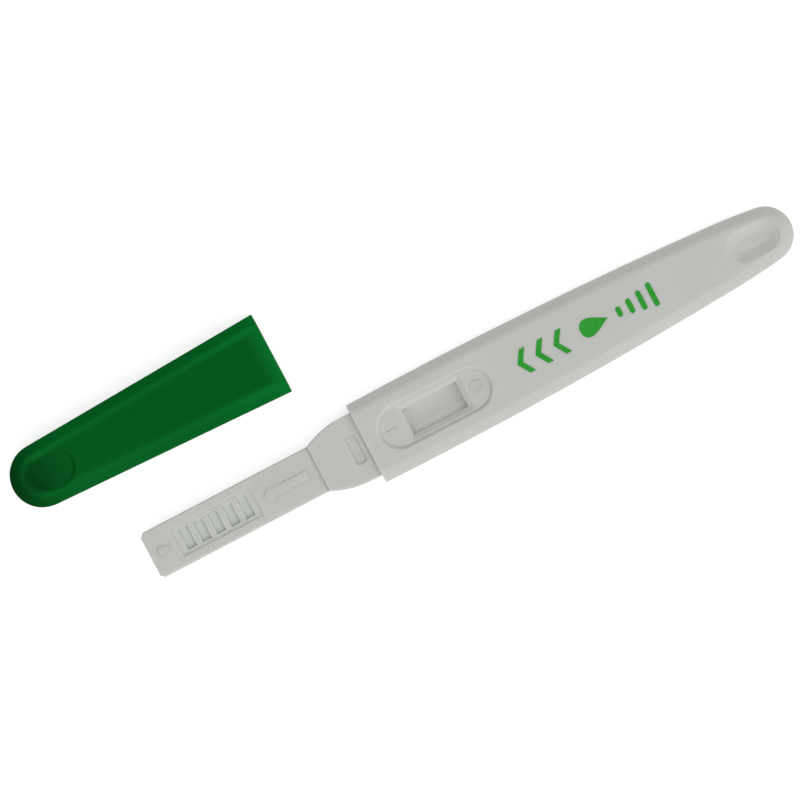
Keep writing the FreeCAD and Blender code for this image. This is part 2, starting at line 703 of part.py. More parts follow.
def test_strip():
    front = MEMBRANE_FRONT
    step = "membrane_thickness"
    strip_piece("backing_card", [
        (CARD_FRONT, BED), (CARD_FRONT + " + card_length", BED),
        (CARD_FRONT + " + card_length", CARD_TOP), (CARD_FRONT, CARD_TOP)], "strip_width")
    strip_piece("membrane", [
        (front, CARD_TOP), (MEMBRANE_END, CARD_TOP),
        (MEMBRANE_END, MEMBRANE_TOP), (front, MEMBRANE_TOP)], "strip_width")

    conjugate_end = "(%s + pad_overlap)" % front
    thick = " + conjugate_thickness"
    strip_piece("conjugate_pad", [
        (CONJUGATE_FRONT, CARD_TOP), (front, CARD_TOP), (front, MEMBRANE_TOP),
        (conjugate_end, MEMBRANE_TOP), (conjugate_end, MEMBRANE_TOP + thick),
        (front, MEMBRANE_TOP + thick), (front + " - " + step, CARD_TOP + thick),
        (CONJUGATE_FRONT, CARD_TOP + thick)], "strip_width")

    absorbent_front = "(%s - pad_overlap)" % MEMBRANE_END
    absorbent_end = "(%s + absorbent_length)" % absorbent_front
    thick = " + absorbent_thickness"
    strip_piece("absorbent_pad", [
        (absorbent_front, MEMBRANE_TOP), (MEMBRANE_END, MEMBRANE_TOP),
        (MEMBRANE_END, CARD_TOP), (absorbent_end, CARD_TOP),
        (absorbent_end, CARD_TOP + thick), (MEMBRANE_END + " + " + step, CARD_TOP + thick),
        (MEMBRANE_END, MEMBRANE_TOP + thick),
        (absorbent_front, MEMBRANE_TOP + thick)], "strip_width")

    bottom = "(%s - %s + tip_skin)" % (PARTING, TIP_RISE)
    top = "(%s + %s - tip_skin - wick_headroom)" % (PARTING, TIP_RISE)
    wick_front = TIP_FRONT + " + wall + wick_gap"
    wick_end = CONJUGATE_FRONT + " + wick_overlap"
    over_card = CARD_FRONT + " - card_thickness"
    raised = CARD_TOP + " + conjugate_thickness"
    strip_piece("sample_wick", [
        (wick_front, bottom), (over_card + " - wick_ramp", bottom), (over_card, raised),
        (wick_end, raised), (wick_end, WICK_PRESS), (over_card, WICK_PRESS),
        (over_card + " - wick_ramp", top), (wick_front, top)],
        "tip_width - 2 * wall - 2 * wick_side_gap")


def cap():
    """The cap in its own place: mouth at X zero, closed end towards minus X."""
    body = new_body("cap")
    top = size("housing_depth")
    outline = new_sketch(body, "cap_outline")
    cap_outline(outline)
    pad = add_pad(body, outline, "cap_block", "housing_depth")
    chamfer = body.newObject("PartDesign::Chamfer", "cap_bevel")
    names = edges_of(pad, lambda edge: (at_height(edge, top) or at_height(edge, 0.0))
                     and edge.BoundBox.XMin < -1e-3)
    chamfer.Base = (pad, names)
    chamfer.ChamferType = "Two distances"
    chamfer.setExpression("Size", bound("bevel_drop"))
    chamfer.setExpression("Size2", bound("bevel_width"))
    document.recompute()
    edges = edges_of(chamfer, lambda edge: edge.BoundBox.XMin < -1e-3
                     and (at_height(edge, top) or at_height(edge, 0.0)))
    add_fillet(body, chamfer, "cap_edges", edges, "cap_blend")

    hollow = new_sketch(body, "hollow_outline", "cap_skin")
    cap_outline(hollow, "cap_wall")
    add_pocket(body, hollow, "hollow", "housing_depth - 2 * cap_skin", True)
    for name, level, up in (("top_nib", "housing_depth - cap_skin", False),
                            ("bottom_nib", "cap_skin", True)):
        nib = new_sketch(body, name + "_outline", level)
        rectangle(nib, "-nib_setback - nib_length / 2", "-nib_setback + nib_length / 2",
                  "-nib_width / 2", "nib_width / 2")
        add_pad(body, nib, name, "nib_height", up)
    thumb = new_sketch(body, "thumb_dimple_outline", "housing_depth")
    stadium(thumb, "thumb_length", "thumb_width", "thumb_setback - cap_length")
    add_hollow(body, "thumb_dimple", thumb, "thumb_sink", "thumb_run", "thumb_blend")
    body.setExpression("Placement.Base.x", bound("-cap_mouth_back"))
    body.setExpression("Placement.Base.y", bound("cap_mouth_aside"))
    body.Placement.Rotation = FreeCAD.Rotation(FreeCAD.Vector(0, 0, 1), size("cap_turn"))
    document.recompute()
    return body


upper_shell()
lower_shell()
test_strip()
cap()

document.recompute()
for item in document.Objects:
    if "Invalid" in item.State or "Error" in item.State:
        raise RuntimeError("%s failed: %s" % (item.Label, item.State))

bodies = [item for item in document.Objects if item.TypeId == "PartDesign::Body"]
for body in bodies:
    if body.Shape.isNull() or not body.Shape.isValid():
        raise RuntimeError("%s has no valid shape" % body.Label)

os.makedirs("parts", exist_ok=True)
for body in bodies:
    print("%-14s solids %d  volume %.1f  faces %d" % (
        body.Label, len(body.Shape.Solids), body.Shape.Volume, len(body.Shape.Faces)))
    body.Shape.exportStep("parts/%s.step" % body.Label)
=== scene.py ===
"""Finish of a midstream test: moulded white housing, green cap, test strip, marks and print.

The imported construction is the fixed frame. Every piece made here is in metres in that
frame: X runs along the stick towards the handle, Z is up through the result window.
"""

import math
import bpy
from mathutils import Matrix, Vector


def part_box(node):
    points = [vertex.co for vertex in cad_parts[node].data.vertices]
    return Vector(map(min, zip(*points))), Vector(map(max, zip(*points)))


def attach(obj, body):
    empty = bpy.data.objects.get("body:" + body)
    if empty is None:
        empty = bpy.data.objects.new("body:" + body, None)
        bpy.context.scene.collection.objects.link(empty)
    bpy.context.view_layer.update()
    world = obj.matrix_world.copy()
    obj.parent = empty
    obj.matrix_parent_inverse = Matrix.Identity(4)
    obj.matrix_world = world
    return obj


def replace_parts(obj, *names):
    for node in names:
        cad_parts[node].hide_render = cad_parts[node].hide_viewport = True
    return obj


bl_info = {
    "name": "Midstream Test Finish",
    "version": (1, 0, 0),
    "blender": (4, 5, 0),
    "location": "View3D > Sidebar > Midstream Test",
    "description": "Finishes the housing, cap, test strip, marks and print of a midstream test",
    "category": "Object",
}

import bmesh
import bpy
from mathutils import Vector, noise
from mathutils.bvhtree import BVHTree

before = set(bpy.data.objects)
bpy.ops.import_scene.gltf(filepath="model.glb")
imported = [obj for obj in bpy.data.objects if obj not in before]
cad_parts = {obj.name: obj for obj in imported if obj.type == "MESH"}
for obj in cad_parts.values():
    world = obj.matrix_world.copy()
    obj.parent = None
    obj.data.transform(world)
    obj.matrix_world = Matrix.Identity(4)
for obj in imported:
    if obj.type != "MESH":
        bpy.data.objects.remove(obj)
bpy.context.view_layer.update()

MM = 0.001

# The print, as shares of its height across the stick
CHEVRON_COUNT = 3
CHEVRON_PITCH = 0.78
CHEVRON_SLOPE = 0.62
DROP_AFTER = 3.32
DROP_LENGTH = 1.2
DROP_WIDTH = 0.7371
BARS_AFTER = 1.08
BAR_PITCH = 0.48
BAR_HEIGHTS = (0.42, 0.61, 0.8, 1.0)

# A chevron's stroke as a share of a bar's, and a mark's softening as a share of its relief
CHEVRON_STROKE = 1.15
MARK_SOFTNESS = 0.6

# How soon a drop swells from its point, and what makes its belly as wide as it is asked to be
DROP_SWELL = 0.8
DROP_FULLNESS = 1.4467

# Rounding of a bar's ends as a share of its smaller side, just short of a full half circle
BAR_ROUNDING = 0.49

# Step to the side that keeps a measuring ray off a mark's own starting edge
PROBE_STEP = 0.1 * MM

# Merging of a form's doubles, and how near a cut takes a point as lying on it
MERGE_DISTANCE = 0.001 * MM
CUT_TOLERANCE = 0.0005 * MM

# Distance between the columns and the rows of nodes in the shader editor
NODE_COLUMN = 190
NODE_ROW = 300


def linear(red, green, blue):
    """A colour given as 0 to 255 on screen, as the shaders take it."""
    shades = []
    for value in (red, green, blue):
        part = value / 255
        shades.append(part / 12.92 if part <= 0.04045 else ((part + 0.055) / 1.055) ** 2.4)
    return tuple(shades)


def colour_property(name, description, shade):
    return bpy.props.FloatVectorProperty(
        name=name, description=description, subtype="COLOR", size=3, min=0.0, max=1.0,
        default=linear(*shade))


def length_property(name, description, millimetres):
    return bpy.props.FloatProperty(
        name=name, description=description, default=millimetres * MM, unit="LENGTH",
        subtype="DISTANCE", precision=5)


def number_property(name, description, value, low=0.0, high=10.0):
    return bpy.props.FloatProperty(
        name=name, description=description, default=value, min=low, max=high, precision=3)


class HousingSettings(bpy.types.PropertyGroup):
    colour: colour_property(
        "Colour", "Colour of the white moulded plastic", (208, 210, 205))
    roughness: number_property(
        "Roughness", "How matt the moulded surface is", 0.42, 0.0, 1.0)
    cloud_size: length_property(
        "Cloud Size", "Width of the faint clouds in the plastic", 9.0)
    grain_size: length_property(
        "Grain Size", "Width of the fine grain of the mould", 0.16)
    grain_depth: length_property(
        "Grain Depth", "Depth of the fine grain of the mould", 0.0012)
    scatter: length_property(
        "Scatter", "How far light travels in the plastic", 1.2)
    speck_spacing: length_property(
        "Speck Spacing", "Distance between the few specks of dust", 7.0)
    speck_size: length_property(
        "Speck Size", "Width of a speck of dust", 0.12)


class CapSettings(bpy.types.PropertyGroup):
    colour: colour_property(
        "Colour", "Colour of the green moulded plastic", (1, 95, 33))
    # Painted light: the cap is painted lighter near its mouth, in place of light that comes
    # through the thin lip.
    lip_light_colour: colour_property(
        "Lip Light Colour", "Colour of the thin lip, where light comes through", (5, 120, 46))
    lip_width: length_property(
        "Lip Width", "How far the light comes through from the mouth", 4.0)
    # Painted highlight: the rounded edge of the bevel is painted lighter, the bevel outside it
    # a share of that, and near the mouth it takes the lip's painted light.
    rim_highlight_colour: colour_property(
        "Rim Highlight Colour", "Colour along the rounded edge of the bevel", (5, 109, 40))
    rim_inset: length_property(
        "Rim Inset", "How far in from the outline the rim is lightest", 2.4)
    rim_spread: length_property(
        "Rim Spread", "How far inwards from there the rim light fades out", 1.4)
    bevel_share: number_property(
        "Bevel Share", "How much of the rim light the bevel outside it has", 0.45, 0.0, 1.0)
    rim_length: length_property(
        "Rim Length", "How far from the mouth the rim takes the colour of the lip", 22.0)
    end_radius: length_property(
        "End Radius", "Radius of the closed end", 6.5)
    mouth_width: length_property(
        "Mouth Width", "Width of the cap at its mouth", 17.4)
    mouth_aside: length_property(
        "Mouth Aside", "Place of the middle of the mouth beside the stick", 24.9)
    turn: bpy.props.FloatProperty(
        name="Turn", description="How far the cap is turned where it lies",
        default=math.radians(0.37), subtype="ANGLE")
    # Painted shade: the closed end of the cap is painted darker.
    end_shade_colour: colour_property(
        "End Shade Colour", "Colour of the closed end, where no light comes through", (1, 64, 20))
    end_length: length_property(
        "End Length", "How far the darker closed end reaches", 16.0)
    roughness: number_property(
        "Roughness", "How matt the moulded surface is", 0.36, 0.0, 1.0)
    grain_depth: length_property(
        "Grain Depth", "Depth of the fine grain of the mould", 0.0012)


class StripSettings(bpy.types.PropertyGroup):
    wick_colour: colour_property(
        "Wick Colour", "Colour of the fibre wick in the tip", (213, 218, 212))
    membrane_colour: colour_property(
        "Membrane Colour", "Colour of the membrane in the window", (207, 208, 205))
    # Painted light: the membrane is painted lighter along the edges of the opening, most on the
    # side under the lamp, in place of light through the frame's wall.
    glow_colour: colour_property(
        "Glow Colour", "Colour of the membrane where light comes through the frame's wall",
        (240, 240, 236))
    glow_width: length_property(
        "Glow Width", "How far that light reaches in from the side under the lamp", 2.3)
    edge_glow_width: length_property(
        "Edge Glow Width", "How far it reaches in from the other edges of the opening", 1.0)
    edge_glow: number_property(
        "Edge Glow", "How strong it is along those other edges", 0.55, 0.0, 1.0)
    opening_length: length_property(
        "Opening Length", "Length of the opening above the membrane", 12.2)
    opening_width: length_property(
        "Opening Width", "Width of the opening above the membrane", 5.6)
    glass_colour: colour_property(
        "Glass Pad Colour", "Colour of the glass fibre pad", (214, 203, 198))
    paper_colour: colour_property(
        "Paper Colour", "Colour of the absorbent paper pad", (216, 215, 209))
    card_colour: colour_property(
        "Card Colour", "Colour of the plastic backing card", (222, 223, 220))
    cut_pitch: length_property(
        "Fibre Cut Pitch", "Distance between the cuts that let a pad follow its fibres", 0.45)
    wick_relief: length_property(
        "Wick Relief", "How far the wick's face swells and sinks", 0.05)
    pad_relief: length_property(
        "Pad Relief", "How far the faces of the thin pads swell and sink", 0.02)
    soft_edge: length_property(
        "Soft Edge", "Rounding of the pads' cut edges", 0.06)


class MarkSettings(bpy.types.PropertyGroup):
    relief: length_property(
        "Relief", "How far the moulded marks stand up", 0.11)
    line: length_property(
        "Line Width", "Width of a moulded line", 0.38)
    arrow_point: length_property(
        "Arrow Point", "Place of the arrow's point along the stick", -38.6)
    arrow_end: length_property(
        "Arrow End", "Place of the arrow's rear end along the stick", -28.6)
    arrow_head: length_property(
        "Arrow Head", "Length of the arrow's head", 1.9)
    arrow_width: length_property(
        "Arrow Width", "Width of the arrow across its head", 3.4)
    shaft_width: length_property(
        "Shaft Width", "Width of the arrow's shaft", 1.9)
    drop_place: length_property(
        "Drop Place", "Place of the drop mark along the stick", -60.9)
    drop_length: length_property(
        "Drop Length", "Length of the drop mark", 2.9)
    drop_width: length_property(
        "Drop Width", "Width of the drop mark", 1.8)
    bar_place: length_property(
        "Bar Place", "Place of the test bar along the stick", -9.8)
    bar_length: length_property(
        "Bar Length", "Length of the test bar", 2.2)
    ring_place: length_property(
        "Ring Place", "Place of the control ring along the stick", 9.4)
    ring_radius: length_property(
        "Ring Radius", "Outer radius of the control ring", 1.3)


class PrintSettings(bpy.types.PropertyGroup):
    colour: colour_property(
        "Ink Colour", "Colour of the green print", (30, 156, 32))
    start: length_property(
        "Start", "Where the print starts along the stick", 18.6)
    height: length_property(
        "Height", "Height of the print across the stick", 5.2)
    stroke: length_property(
        "Stroke", "Width of a printed stroke", 1.1)
    ink: length_property(
        "Ink Thickness", "Thickness of the ink on the plastic", 0.012)


class StageSettings(bpy.types.PropertyGroup):
    turn: bpy.props.FloatProperty(
        name="Turn", description="How far the stick is turned in the picture",
        default=math.radians(27.65), subtype="ANGLE")
    span: length_property(
        "Span", "Width of the view at the middle of the housing", 160.0)
    distance: length_property(
        "Camera Distance", "Height of the camera above the housing", 1100.0)
    camera_place: bpy.props.FloatVectorProperty(
        name="Camera Place", description="Point of the bench that the camera looks down on",
        default=(-5.4 * MM, 4.66 * MM), size=2, unit="LENGTH", subtype="XYZ")
    key_direction: bpy.props.FloatVectorProperty(
        name="Key Direction", description="Direction in which the main lamp stands",
        default=(0.32, -1.0, 1.65), size=3)
    key_distance: length_property(
        "Key Distance", "Distance of the main lamp from the housing", 1400.0)
    key_size: length_property(
        "Key Size", "Width of the main lamp's round face", 3850.0)
    key_power: number_property(
        "Key Power", "Power of the main lamp in watts", 33.0, 0.0, 100.0)
    sky_strength: number_property(
        "Sky Strength", "Strength of the even light from all round", 0.32)
    floor_colour: colour_property(
        "Floor Colour", "Colour of the floor", (236, 236, 236))
    floor_lift: number_property(
        "Floor Lift", "How much lighter the camera sees the floor", 0.6)


# Shader helpers

def socket(group, name, kind, output=False, value=None):
    side = "OUTPUT" if output else "INPUT"
    made = group.interface.new_socket(name=name, in_out=side, socket_type="NodeSocket" + kind)
    if value is not None:
        made.default_value = value
    return made


def node(tree, kind, place, **values):
    """A shader node at a place in the editor, with its settings and socket values."""
    made = tree.nodes.new("ShaderNode" + kind)
    made.location = (place[0] * NODE_COLUMN, place[1] * NODE_ROW)
    for name, value in values.items():
        if hasattr(made, name):
            setattr(made, name, value)
        else:
            made.inputs[name.replace("_", " ").title()].default_value = value
    return made


def math_node(tree, operation, place, first=None, second=None, third=None):
    made = node(tree, "Math", place, operation=operation)
    for index, value in enumerate((first, second, third)):
        if isinstance(value, bpy.types.NodeSocket):
            tree.links.new(value, made.inputs[index])
        elif value is not None:
            made.inputs[index].default_value = value
    return made.outputs["Value"]


def colour_mix(tree, place, factor, first, second):
    """Mixes two colours, each a socket or a colour, by a mask or a number."""
    made = node(tree, "Mix", place, data_type="RGBA")
    for name, value in (("Factor_Float", factor), ("A_Color", first), ("B_Color", second)):
        target = next(item for item in made.inputs if item.identifier == name)
        if isinstance(value, bpy.types.NodeSocket):
            tree.links.new(value, target)
        elif name == "Factor_Float":
            target.default_value = value
        else:
            target.default_value = tuple(value)[:3] + (1.0,)
    return next(item for item in made.outputs if item.identifier == "Result_Color")


def noise_node(tree, place, coordinates, scale, detail=2.0):
    made = node(tree, "TexNoise", place)
    made.inputs["Detail"].default_value = detail
    tree.links.new(coordinates, made.inputs["Vector"])
    if isinstance(scale, bpy.types.NodeSocket):
        tree.links.new(scale, made.inputs["Scale"])
    else:
        made.inputs["Scale"].default_value = scale
    return made.outputs["Fac"]


def empty_group(name):
    group = bpy.data.node_groups.new(name, "ShaderNodeTree")
    start = group.nodes.new("NodeGroupInput")
    start.location = (-6 * NODE_COLUMN, 0)
    end = group.nodes.new("NodeGroupOutput")
    end.location = (4 * NODE_COLUMN, 0)
    return group, start, end


def moulded_skin():
    """Plastic as it leaves a mould: faint clouds of colour, uneven gloss and a fine grain."""
    name = "Moulded Skin"
    gloss_range = 0.16
    if name in bpy.data.node_groups:
        return bpy.data.node_groups[name]
    group, start, end = empty_group(name)
    socket(group, "Colour", "Color", value=(0.8, 0.8, 0.8, 1.0))
    socket(group, "Cloud", "Float", value=0.05)
    socket(group, "Cloud Size", "Float", value=10.0 * MM)
    socket(group, "Roughness", "Float", value=0.4)
    socket(group, "Grain Size", "Float", value=0.2 * MM)
    socket(group, "Grain Depth", "Float", value=0.001 * MM)
    socket(group, "Colour", "Color", output=True)
    socket(group, "Roughness", "Float", output=True)
    socket(group, "Normal", "Vector", output=True)
    links = group.links
    spot = node(group, "TexCoord", (-4, 0)).outputs["Object"]
    cloud_scale = math_node(group, "DIVIDE", (-3, 1), 1.0, start.outputs["Cloud Size"])
    clouds = noise_node(group, (-2, 1), spot, cloud_scale, 3.0)
    darker = colour_mix(group, (-2, 2), 1.0, start.outputs["Colour"], (0.0, 0.0, 0.0))
    mask = math_node(group, "MULTIPLY", (-1, 1), clouds, start.outputs["Cloud"])
    tinted = colour_mix(group, (0, 1), mask, start.outputs["Colour"], darker)
    grain_scale = math_node(group, "DIVIDE", (-3, -1), 1.0, start.outputs["Grain Size"])
    grain = noise_node(group, (-2, -1), spot, grain_scale, 2.0)
    bump = node(group, "Bump", (1, -1), strength=1.0)
    links.new(start.outputs["Grain Depth"], bump.inputs["Distance"])
    links.new(grain, bump.inputs["Height"])
    uneven = math_node(
        group, "MULTIPLY_ADD", (-1, 0), clouds, gloss_range, -gloss_range / 2)
    gloss = math_node(group, "ADD", (0, 0), uneven, start.outputs["Roughness"])
    links.new(tinted, end.inputs["Colour"])
    links.new(gloss, end.inputs["Roughness"])
    links.new(bump.outputs["Normal"], end.inputs["Normal"])
    return group


def dust_specks():
    """A few small specks of dust, one in some of the cells of a loose pattern."""
    name = "Dust Specks"
    empty_share = 0.55
    strength = 0.55
    if name in bpy.data.node_groups:
        return bpy.data.node_groups[name]
    group, start, end = empty_group(name)
    socket(group, "Colour", "Color", value=(0.8, 0.8, 0.8, 1.0))
    socket(group, "Speck Colour", "Color", value=(0.3, 0.29, 0.26, 1.0))
    socket(group, "Spacing", "Float", value=6.0 * MM)
    socket(group, "Speck Size", "Float", value=0.1 * MM)
    socket(group, "Colour", "Color", output=True)
    links = group.links
    spot = node(group, "TexCoord", (-4, 1)).outputs["Object"]
    cells = node(group, "TexVoronoi", (-3, 1))
    links.new(spot, cells.inputs["Vector"])
    scale = math_node(group, "DIVIDE", (-4, 0), 1.0, start.outputs["Spacing"])
    links.new(scale, cells.inputs["Scale"])
    reach = math_node(group, "MULTIPLY", (-3, -1), scale, start.outputs["Speck Size"])
    inside = math_node(group, "LESS_THAN", (-2, 0), cells.outputs["Distance"], reach)
    parts = node(group, "SeparateColor", (-2, 1))
    links.new(cells.outputs["Color"], parts.inputs["Color"])
    chosen = math_node(group, "GREATER_THAN", (-1, 1), parts.outputs["Red"], empty_share)
    both = math_node(group, "MULTIPLY", (0, 0), inside, chosen)
    faint = math_node(group, "MULTIPLY", (1, 0), both, strength)
    result = colour_mix(
        group, (2, 0), faint, start.outputs["Colour"], start.outputs["Speck Colour"])
    links.new(result, end.inputs["Colour"])
    return group


def pressed_fibre():
    """Matted fibres: long fine streaks laid two ways, seen as painted shade in their gaps and
    as relief.
    """
    name = "Pressed Fibre"
    stretch = 0.22
    gap_level = 0.42
    fibre_level = 0.68
    if name in bpy.data.node_groups:
        return bpy.data.node_groups[name]
    group, start, end = empty_group(name)
    socket(group, "Colour", "Color", value=(0.8, 0.8, 0.8, 1.0))
    # Painted shade: the gaps between the fibres are painted darker than the fibres.
    socket(group, "Gap Colour", "Color", value=(0.6, 0.6, 0.6, 1.0))
    socket(group, "Fibre Size", "Float", value=0.2 * MM)
    socket(group, "Fibre Depth", "Float", value=0.02 * MM)
    socket(group, "Colour", "Color", output=True)
    socket(group, "Normal", "Vector", output=True)
    links = group.links
    spot = node(group, "TexCoord", (-4, 1)).outputs["Object"]
    scale = math_node(group, "DIVIDE", (-4, 0), 1.0, start.outputs["Fibre Size"])
    layers = []
    for row, turn in ((1, 0.5), (-1, -0.7)):
        lay = node(group, "Mapping", (-3, row))
        lay.inputs["Rotation"].default_value = (0.0, 0.0, turn)
        lay.inputs["Scale"].default_value = (stretch, 1.0, 1.0)
        links.new(spot, lay.inputs["Vector"])
        layers.append(noise_node(group, (-2, row), lay.outputs["Vector"], scale, 3.0))
    fibres = math_node(group, "MAXIMUM", (-1, 0), layers[0], layers[1])
    contrast = node(group, "MapRange", (0, 0), clamp=True)
    contrast.inputs["From Min"].default_value = gap_level
    contrast.inputs["From Max"].default_value = fibre_level
    links.new(fibres, contrast.inputs["Value"])
    shade = colour_mix(group, (1, 1), contrast.outputs["Result"],
                       start.outputs["Gap Colour"], start.outputs["Colour"])
    bump = node(group, "Bump", (1, -1), strength=1.0)
    links.new(start.outputs["Fibre Depth"], bump.inputs["Distance"])
    links.new(contrast.outputs["Result"], bump.inputs["Height"])
    links.new(shade, end.inputs["Colour"])
    links.new(bump.outputs["Normal"], end.inputs["Normal"])
    return group


def new_material(name):
    """A material with its own shader, and the shader node to link to."""
    material = bpy.data.materials.new(name)
    material.use_nodes = True
    tree = material.node_tree
    shader = tree.nodes["Principled BSDF"]
    shader.location = (0, NODE_ROW)
    tree.nodes["Material Output"].location = (2 * NODE_COLUMN, NODE_ROW)
    return material, tree, shader


def placed_group(tree, group, place, **values):
    made = node(tree, "Group", place, node_tree=group)
    for name, value in values.items():
        target = made.inputs[name.replace("_", " ").title()]
        target.default_value = tuple(value)[:3] + (1.0,) if target.type == "RGBA" else value
    return made


def housing_plastic(name, settings, scatter):
    material, tree, shader = new_material(name)
    skin = placed_group(
        tree, moulded_skin(), (-3, 1), colour=settings.colour, cloud=0.07,
        cloud_size=settings.cloud_size, roughness=settings.roughness,
        grain_size=settings.grain_size, grain_depth=settings.grain_depth)
    specks = placed_group(
        tree, dust_specks(), (-2, 1), speck_colour=linear(120, 118, 108),
        spacing=settings.speck_spacing, speck_size=settings.speck_size)
    tree.links.new(skin.outputs["Colour"], specks.inputs["Colour"])
    tree.links.new(specks.outputs["Colour"], shader.inputs["Base Color"])
    tree.links.new(skin.outputs["Roughness"], shader.inputs["Roughness"])
    tree.links.new(skin.outputs["Normal"], shader.inputs["Normal"])
    shader.inputs["IOR"].default_value = 1.5
    shader.inputs["Subsurface Weight"].default_value = 1.0
    shader.inputs["Subsurface Radius"].default_value = (1.0, 0.95, 0.9)
    shader.inputs["Subsurface Scale"].default_value = scatter
    return material


def inset_from_outline(tree, spot, settings):
    """How far in from the cap's outline a place lies, seen from above."""
    closed, mouth = (corner.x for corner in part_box("cap"))
    length = mouth - closed - settings.end_radius
    half_width = settings.mouth_width / 2
    taper = (math.acos(settings.end_radius / math.hypot(half_width, length))
             - math.atan2(length, half_width))
    middle = (mouth - length * math.cos(settings.turn),
              settings.mouth_aside - length * math.sin(settings.turn), 0.0)
    along_cap = node(tree, "Mapping", (-16, 4), vector_type="TEXTURE")
    along_cap.inputs["Location"].default_value = middle
    along_cap.inputs["Rotation"].default_value = (0.0, 0.0, settings.turn)
    tree.links.new(spot, along_cap.inputs["Vector"])
    parts = node(tree, "SeparateXYZ", (-15, 4))
    tree.links.new(along_cap.outputs["Vector"], parts.inputs["Vector"])
    one_side = node(tree, "CombineXYZ", (-13, 4))
    tree.links.new(parts.outputs["X"], one_side.inputs["X"])
    tree.links.new(math_node(tree, "ABSOLUTE", (-14, 3), parts.outputs["Y"]),
                   one_side.inputs["Y"])
    along_side = node(tree, "Mapping", (-12, 4), vector_type="TEXTURE")
    along_side.inputs["Rotation"].default_value = (0.0, 0.0, taper)
    tree.links.new(one_side.outputs["Vector"], along_side.inputs["Vector"])
    turned = node(tree, "SeparateXYZ", (-11, 4))
    tree.links.new(along_side.outputs["Vector"], turned.inputs["Vector"])
    away = node(tree, "CombineXYZ", (-9, 4))
    tree.links.new(math_node(tree, "MINIMUM", (-10, 5), turned.outputs["X"], 0.0),
                   away.inputs["X"])
    tree.links.new(turned.outputs["Y"], away.inputs["Y"])
    reach = node(tree, "VectorMath", (-8, 4), operation="LENGTH")
    tree.links.new(away.outputs["Vector"], reach.inputs[0])
    return math_node(tree, "SUBTRACT", (-7, 4), settings.end_radius, reach.outputs["Value"])


def fading(tree, place, value, start, end, first, last, curve="SMOOTHSTEP"):
    """A value that goes smoothly from one number to another between two places."""
    made = node(tree, "MapRange", place, clamp=True, interpolation_type=curve)
    made.inputs["From Min"].default_value = start
    made.inputs["From Max"].default_value = end
    made.inputs["To Min"].default_value = first
    made.inputs["To Max"].default_value = last
    tree.links.new(value, made.inputs["Value"])
    return made.outputs["Result"]


def cap_plastic(settings):
    """Green plastic with a painted highlight along its rounded bevel, painted light towards the
    lip of the mouth and painted shade at its closed end.
    """
    material, tree, shader = new_material("cap_plastic")
    closed, mouth = (corner.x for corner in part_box("cap"))
    spot = node(tree, "TexCoord", (-17, 1)).outputs["Object"]
    parts = node(tree, "SeparateXYZ", (-16, 0))
    tree.links.new(spot, parts.inputs["Vector"])
    along = parts.outputs["X"]
    # Painted shade: darker towards the closed end.
    past_end = fading(
        tree, (-6, -1), along, closed, closed + settings.end_length, 0.0, 1.0, "SMOOTHERSTEP")
    body = colour_mix(tree, (-5, -1), past_end, settings.end_shade_colour, settings.colour)
    towards_mouth = fading(
        tree, (-6, 2), along, mouth - settings.rim_length, mouth, 0.0, 1.0)
    # Painted highlight along the rounded edge of the bevel, turning to the lip's painted light
    # towards the mouth.
    rim_highlight_colour = colour_mix(
        tree, (-5, 2), towards_mouth, settings.rim_highlight_colour, settings.lip_light_colour)
    inset = inset_from_outline(tree, spot, settings)
    inner = fading(tree, (-6, 4), inset, settings.rim_inset,
                   settings.rim_inset + settings.rim_spread, 1.0, 0.0)
    outer = fading(tree, (-6, 3), inset, settings.rim_inset / 2, settings.rim_inset,
                   settings.bevel_share, 1.0)
    band = math_node(tree, "MULTIPLY", (-5, 3), inner, outer)
    off_end = fading(
        tree, (-6, 5), along, closed, closed + settings.end_length / 2, 0.0, 1.0)
    rim = math_node(tree, "MULTIPLY", (-4, 3), band, off_end)
    with_rim_highlight = colour_mix(tree, (-3, 1), rim, body, rim_highlight_colour)
    # Painted light near the mouth, in place of light that comes through the thin lip.
    near_mouth = fading(tree, (-6, 0), along, mouth - settings.lip_width, mouth, 0.0, 1.0)
    lit = colour_mix(tree, (-2, 1), near_mouth, with_rim_highlight, settings.lip_light_colour)
    skin = placed_group(
        tree, moulded_skin(), (-1, 1), cloud=0.12, cloud_size=14.0 * MM,
        roughness=settings.roughness, grain_size=0.2 * MM,
        grain_depth=settings.grain_depth)
    tree.links.new(lit, skin.inputs["Colour"])
    tree.links.new(skin.outputs["Colour"], shader.inputs["Base Color"])
    tree.links.new(skin.outputs["Roughness"], shader.inputs["Roughness"])
    tree.links.new(skin.outputs["Normal"], shader.inputs["Normal"])
    shader.inputs["IOR"].default_value = 1.49
    shader.inputs["Specular IOR Level"].default_value = 0.02
    return material


def card_plastic(settings):
    material, tree, shader = new_material("card_plastic")
    skin = placed_group(
        tree, moulded_skin(), (-3, 1), colour=settings.card_colour, cloud=0.03,
        cloud_size=5.0 * MM, roughness=0.5, grain_size=0.4 * MM, grain_depth=0.0015 * MM)
    tree.links.new(skin.outputs["Colour"], shader.inputs["Base Color"])
    tree.links.new(skin.outputs["Roughness"], shader.inputs["Roughness"])
    tree.links.new(skin.outputs["Normal"], shader.inputs["Normal"])
    return material


def fibre_material(name, colour, fibre_size, fibre_depth, gap, sheen=0.15):
    """A matt pad of fibres, whose gaps are painted shade at a share of the brightness of its
    fibres.
    """
    material, tree, shader = new_material(name)
    fibre = placed_group(
        tree, pressed_fibre(), (-2, 0), colour=colour,
        gap_colour=[part * gap for part in colour],
        fibre_size=fibre_size, fibre_depth=fibre_depth)
    tree.links.new(fibre.outputs["Colour"], shader.inputs["Base Color"])
    tree.links.new(fibre.outputs["Normal"], shader.inputs["Normal"])
    shader.inputs["Roughness"].default_value = 0.9
    shader.inputs["Sheen Weight"].default_value = sheen
    return material


